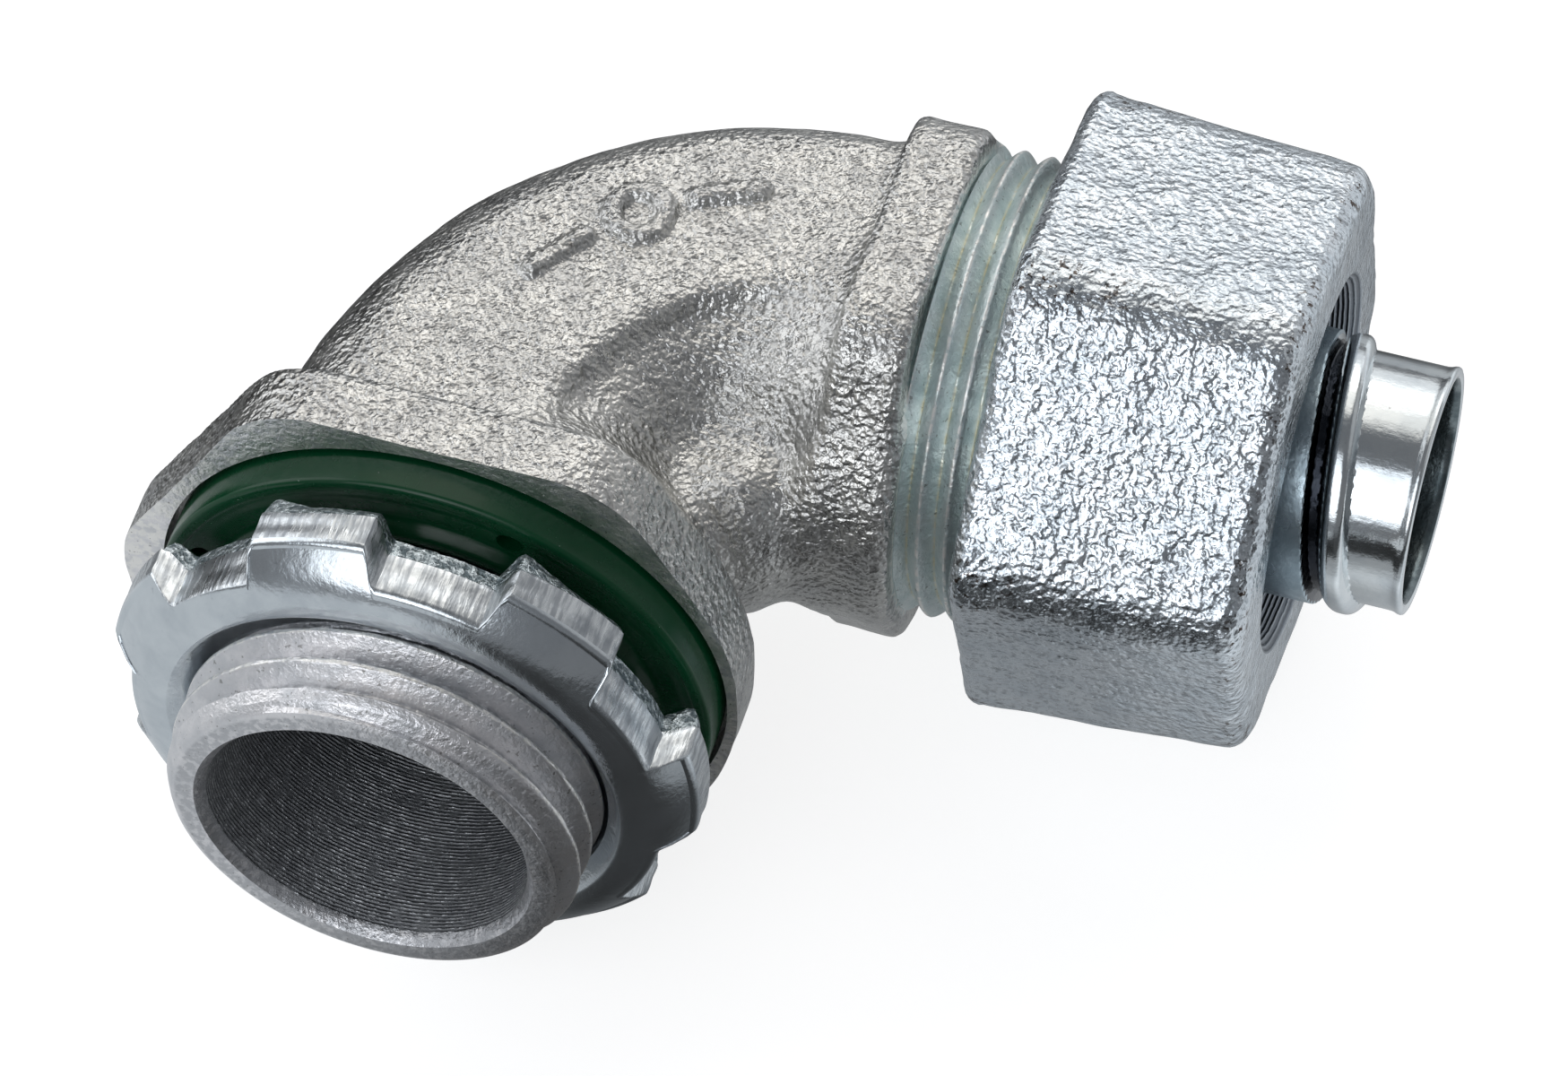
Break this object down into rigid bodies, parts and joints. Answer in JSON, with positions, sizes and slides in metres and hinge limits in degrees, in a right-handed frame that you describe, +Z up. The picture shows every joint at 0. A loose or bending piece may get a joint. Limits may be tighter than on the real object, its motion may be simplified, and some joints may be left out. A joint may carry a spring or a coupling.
{
  "type": "90 degree liquid-tight conduit connector",
  "caption": "Cast 90 degree elbow union with a threaded hub, sealing gasket and lugged locknut on one end, and a hex gland nut, compression ring and turning ferrule on the other.",
  "frame": {"origin": "centre of the bottom of the part's box, with the part lying on its side", "axes": "+X along the gland end's axis and out of it, -Y along the hub's axis and out of it, +Z up, square to both axes"},
  "size_m": [0.0608, 0.0504, 0.031],
  "materials": {
    "elbow_body": "rough cast malleable iron, zinc plated, threads and faces machined",
    "panel_gasket": "glossy dark green moulded rubber",
    "locknut": "smooth bright zinc plate with sheared edges",
    "gland_nut": "bumpy cast malleable iron with glossy bluish zinc plate",
    "compression_ring": "dark moulded nylon",
    "ferrule": "bright polished zinc plate"
  },
  "bodies": {
    "elbow_body": {"elbow_body": "elbow_body"},
    "panel_gasket": {"panel_gasket": "panel_gasket"},
    "locknut": {"locknut": "locknut"},
    "compression_ring": {"compression_ring": "compression_ring"},
    "gland_nut": {"gland_nut": "gland_nut"},
    "ferrule": {"ferrule": "ferrule"}
  },
  "joints": [
    {"name": "gasket_slide", "type": "slide", "parent": "elbow_body", "child": "panel_gasket", "axis": [0, -1, 0], "range_m": [-0.00095, 0.0101]},
    {"name": "locknut_turn", "type": "hinge", "parent": "panel_gasket", "child": "locknut", "pos_m": [-0.01365, -0.01931, 0.01552], "axis": [0, -1, 0], "range_deg": [-180, 1980]},
    {"name": "ring_slide", "type": "slide", "parent": "elbow_body", "child": "compression_ring", "axis": [1, 0, 0], "range_m": [-0.0016, 0.0043]},
    {"name": "gland_nut_turn", "type": "hinge", "parent": "compression_ring", "child": "gland_nut", "pos_m": [0.01635, 0.00969, 0.01552], "axis": [1, 0, 0], "range_deg": [-400, 1080]},
    {"name": "ferrule_turn", "type": "hinge", "parent": "elbow_body", "child": "ferrule", "pos_m": [0.01535, 0.00969, 0.01552], "axis": [1, 0, 0], "continuous": true}
  ],
  "couplings": [
    {"joint": "gasket_slide", "follows": "locknut_turn", "m_per_rad": 0.00028871},
    {"joint": "ring_slide", "follows": "gland_nut_turn", "m_per_rad": 0.00022457}
  ]
}
